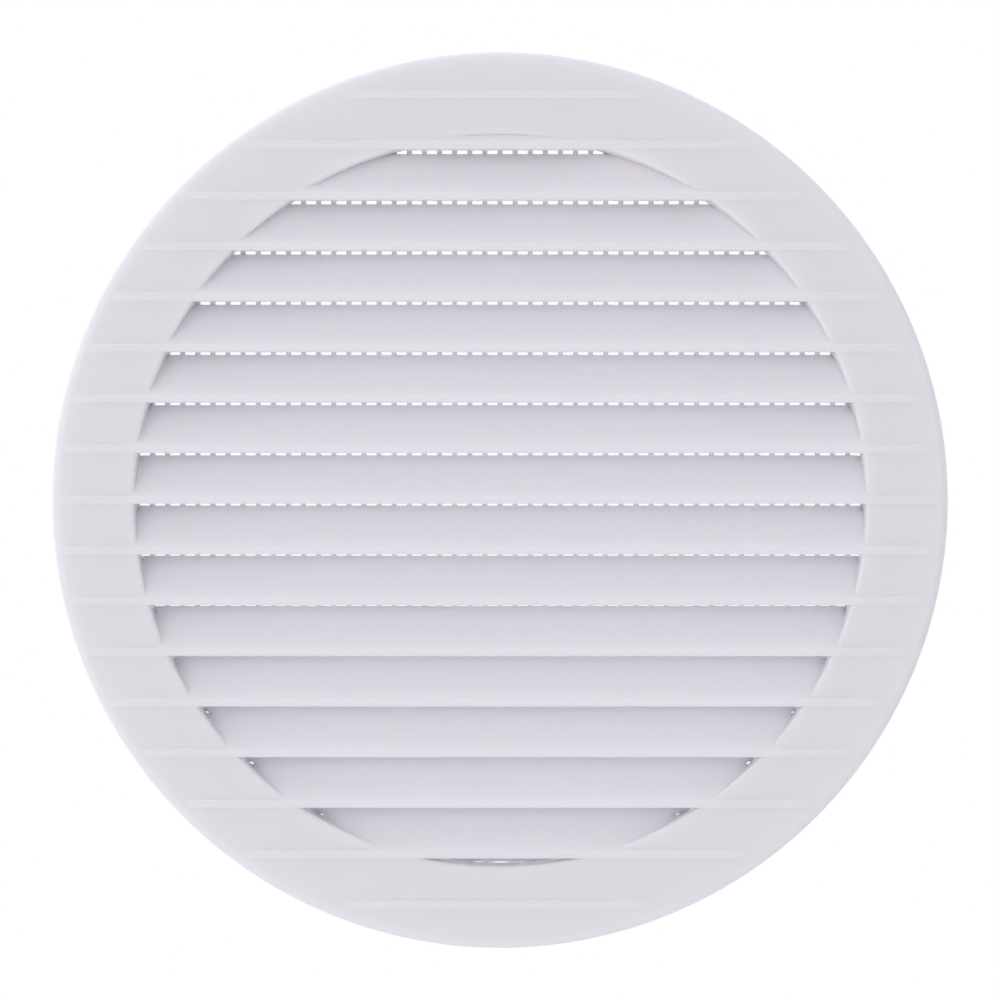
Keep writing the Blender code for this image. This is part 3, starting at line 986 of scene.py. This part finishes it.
WINDOW_RISE = math.radians(35.0)  # the room is brightest behind the vent, this high up
ROOM_LIGHT = [  # from the direction opposite the brightest one (0) to that one (1)
    (0.0, (0.367, 0.346, 0.366)),
    (0.3, (0.347, 0.331, 0.352)),
    (0.5, (0.298, 0.310, 0.336)),
    (0.7, (0.45, 0.480, 0.520)),
    (1.0, (0.56, 0.605, 0.655)),
]
ROOM_STRENGTH = 2.0
SIDE_LIGHT = 0.4  # added to the strength on the left, and taken off on the right
KEY_POWER = 2.0
KEY_SIZE = 0.5
KEY_PLACE = (-0.8, -1.3, 0.15)
FLOOR_RADIUS = 1.1
FLOOR_SOLID_RADIUS = 0.35  # the floor fades out from here to its edge
FLOOR_DROP = 0.25  # below the face
CAMERA_DISTANCE = 760.0 * MM  # from the bars' front
PICTURE_WIDTH = 200.4 * MM  # at the bars' front


def make_floor():
    """A pale round floor well below the face, fading out towards its edge."""
    bm = bmesh.new()
    bmesh.ops.create_circle(bm, cap_ends=True, segments=96, radius=FLOOR_RADIUS)
    finish = Finish("floor_pale", 0.75)
    shader = finish.shader
    length = finish.tree.nodes.new("ShaderNodeVectorMath")
    length.operation = "LENGTH"
    finish.link(finish.place, length.inputs[0])
    edges = (FLOOR_SOLID_RADIUS, FLOOR_RADIUS)
    fade = finish.spread(length.outputs["Value"], 1.0, 0.0, edges)
    finish.link(fade, shader.inputs["Alpha"])
    speckle = finish.noise(90.0, 3.0)
    pale = finish.ramp(speckle, shades((0.82, 0.82, 0.82), 0.02))
    floor = make_object("floor", bm, finish.finish(pale))
    floor.location = (0.0, 0.0, FACE_LOW.z - FLOOR_DROP)


def make_world():
    """White backdrop; the room's light is stronger and cooler from behind and above.

    The room is also a little brighter on the left of the picture.
    """
    world = bpy.data.worlds.new("studio")
    bpy.context.scene.world = world
    world.use_nodes = True
    nodes, links = world.node_tree.nodes, world.node_tree.links
    nodes.clear()
    where = nodes.new("ShaderNodeTexCoord").outputs["Generated"]
    towards = nodes.new("ShaderNodeVectorMath")
    towards.operation = "DOT_PRODUCT"
    window = (0.0, math.cos(WINDOW_RISE), math.sin(WINDOW_RISE))
    towards.inputs[1].default_value = window
    links.new(where, towards.inputs[0])

    nearness = nodes.new("ShaderNodeMapRange")
    nearness.inputs["From Min"].default_value = -1.0
    links.new(towards.outputs["Value"], nearness.inputs["Value"])
    colour = nodes.new("ShaderNodeValToRGB")
    elements = colour.color_ramp.elements
    while len(elements) < len(ROOM_LIGHT):
        elements.new(0.5)
    for element, (position, tint) in zip(elements, ROOM_LIGHT):
        element.position = position
        element.color = (*tint, 1.0)
    links.new(nearness.outputs["Result"], colour.inputs["Fac"])

    lean = nodes.new("ShaderNodeVectorMath")
    lean.operation = "DOT_PRODUCT"
    lean.inputs[1].default_value = (-SIDE_LIGHT, 0.0, 0.0)
    links.new(where, lean.inputs[0])
    strength = nodes.new("ShaderNodeMath")
    strength.operation = "ADD"
    strength.inputs[1].default_value = ROOM_STRENGTH
    links.new(lean.outputs["Value"], strength.inputs[0])

    soft = nodes.new("ShaderNodeBackground")
    links.new(colour.outputs["Color"], soft.inputs["Color"])
    links.new(strength.outputs["Value"], soft.inputs["Strength"])
    plain = nodes.new("ShaderNodeBackground")
    plain.inputs["Color"].default_value = (1.0, 1.0, 1.0, 1.0)
    choose = nodes.new("ShaderNodeMixShader")
    seen = nodes.new("ShaderNodeLightPath").outputs["Is Camera Ray"]
    links.new(seen, choose.inputs["Fac"])
    links.new(soft.outputs["Background"], choose.inputs[1])
    links.new(plain.outputs["Background"], choose.inputs[2])
    out = nodes.new("ShaderNodeOutputWorld")
    links.new(choose.outputs["Shader"], out.inputs["Surface"])


def make_lights():
    """One large soft key light, to the left of the camera and a little above it."""
    key = bpy.data.lights.new("key", "AREA")
    key.shape = "DISK"
    key.size = KEY_SIZE
    key.energy = KEY_POWER
    lamp = bpy.data.objects.new("key", key)
    bpy.context.collection.objects.link(lamp)
    lamp.location = KEY_PLACE
    aim = Vector((0.0, 0.0, 0.0)) - lamp.location
    lamp.rotation_euler = aim.to_track_quat("-Z", "Y").to_euler()


def make_camera():
    """Straight in front of the face, on the duct's axis."""
    camera = bpy.data.cameras.new("camera")
    camera.sensor_width = 36.0
    camera.lens = camera.sensor_width * CAMERA_DISTANCE / PICTURE_WIDTH
    eye = bpy.data.objects.new("camera", camera)
    bpy.context.collection.objects.link(eye)
    eye.location = (0.0, BAR_FRONT - CAMERA_DISTANCE, 0.0)
    eye.rotation_euler = (math.radians(90.0), 0.0, 0.0)
    bpy.context.scene.camera = eye
    bpy.context.scene.view_settings.view_transform = "Standard"


make_camera()
make_floor()
make_world()
make_lights()
make_louvre_face()
make_insect_screen()
make_duct_collar()
make_retaining_ring()
make_screws()
for leaf_number in range(1, 5):
    make_spring_leaf(leaf_number)
    make_rivets(leaf_number)
